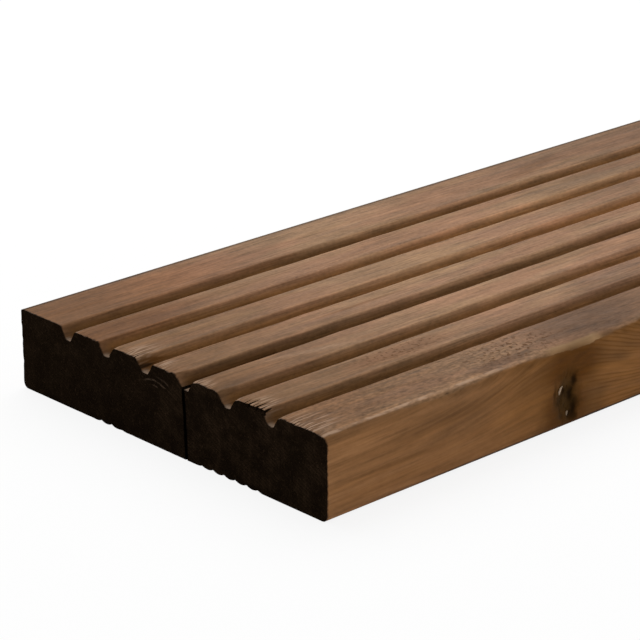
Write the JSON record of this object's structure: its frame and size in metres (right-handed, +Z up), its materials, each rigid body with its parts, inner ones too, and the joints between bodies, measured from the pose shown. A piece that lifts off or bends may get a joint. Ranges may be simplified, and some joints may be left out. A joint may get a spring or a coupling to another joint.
{
  "type": "decking board",
  "caption": "Brown softwood decking board with drainage grooves along its tread face, fine reeds underneath, rounded edges and a drying check at one end.",
  "frame": {"origin": "middle of the underside, level with the plain part of the underside", "axes": "+X along the board, away from the end with the drying check; +Y across the board; +Z up, out of the grooved tread face"},
  "size_m": [2.4, 0.144, 0.027],
  "materials": {
    "timber": "planed, brown pressure-treated softwood"
  },
  "bodies": {
    "root": {"decking_board": "timber"}
  },
  "joints": []
}
